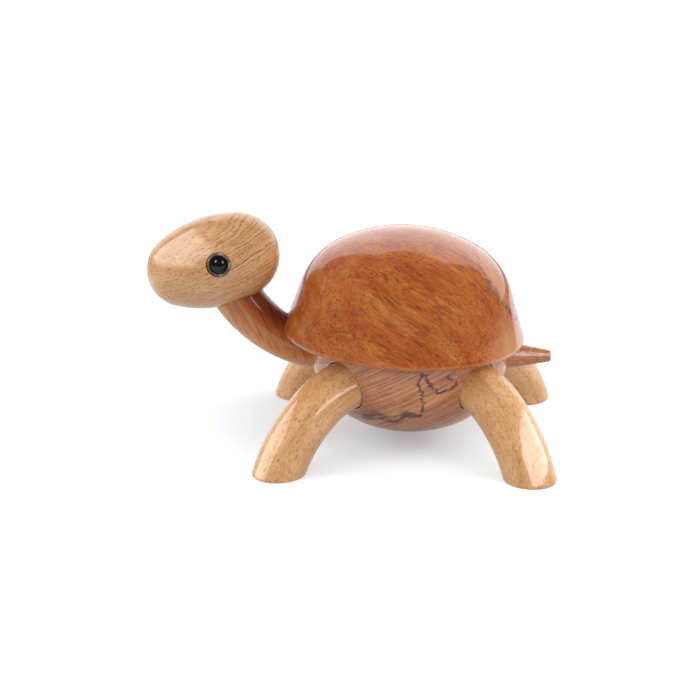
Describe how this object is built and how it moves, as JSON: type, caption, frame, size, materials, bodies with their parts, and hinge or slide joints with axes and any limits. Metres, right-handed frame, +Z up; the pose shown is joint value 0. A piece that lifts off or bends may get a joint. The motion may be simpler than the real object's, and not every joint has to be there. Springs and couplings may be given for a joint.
{
  "type": "turtle figurine",
  "caption": "Jointed wooden turtle: domed shell on a round belly, egg-shaped head on a curved neck, bent round-bar legs, small tail; head and legs turn on pins.",
  "frame": {"origin": "on the table, under the middle of the overall length and width", "axes": "+Z up; -X where the turtle faces, +X its tail; +Y its right side"},
  "size_m": [0.1626, 0.1184, 0.0912],
  "materials": {
    "shell_wood": "clear gloss lacquer over open grain",
    "belly_wood": "clear gloss lacquer over open grain",
    "leg_wood": "clear gloss lacquer over open grain",
    "head_wood": "clear gloss lacquer over open grain",
    "neck_wood": "clear gloss lacquer over open grain",
    "tail_wood": "clear gloss lacquer over open grain",
    "dowel_wood": "bare, with a glue film",
    "eye_black": "polished black",
    "eye_ring": "smoked brown, polished"
  },
  "bodies": {
    "body": {"belly": "belly_wood", "shell": "shell_wood", "neck": "neck_wood", "tail": "tail_wood", "neck_dowel": "dowel_wood", "head_pin": "dowel_wood", "shell_dowel_front": "dowel_wood", "shell_dowel_rear": "dowel_wood"},
    "head": {"head": "head_wood", "eye_ring_left": "eye_ring", "eye_ring_right": "eye_ring", "eye_bead_left": "eye_black", "eye_bead_right": "eye_black"},
    "leg_front_left": {"leg_front_left": "leg_wood", "leg_pin_front_left": "dowel_wood"},
    "leg_front_right": {"leg_front_right": "leg_wood", "leg_pin_front_right": "dowel_wood"},
    "leg_rear_left": {"leg_rear_left": "leg_wood", "leg_pin_rear_left": "dowel_wood"},
    "leg_rear_right": {"leg_rear_right": "leg_wood", "leg_pin_rear_right": "dowel_wood"}
  },
  "joints": [
    {"name": "head_turn", "type": "hinge", "parent": "body", "child": "head", "pos_m": [-0.04574, 0, 0.05821], "axis": [-0.5314, 0, 0.8471], "continuous": true},
    {"name": "leg_front_left_turn", "type": "hinge", "parent": "body", "child": "leg_front_left", "pos_m": [0.00412, -0.02242, 0.0304], "axis": [-0.7387, -0.6535, -0.165], "continuous": true},
    {"name": "leg_front_right_turn", "type": "hinge", "parent": "body", "child": "leg_front_right", "pos_m": [0.00412, 0.02242, 0.0304], "axis": [-0.7387, 0.6535, -0.165], "continuous": true},
    {"name": "leg_rear_left_turn", "type": "hinge", "parent": "body", "child": "leg_rear_left", "pos_m": [0.04602, -0.01948, 0.0304], "axis": [0.6405, -0.75, -0.165], "continuous": true},
    {"name": "leg_rear_right_turn", "type": "hinge", "parent": "body", "child": "leg_rear_right", "pos_m": [0.04602, 0.01948, 0.0304], "axis": [0.6405, 0.75, -0.165], "continuous": true}
  ]
}
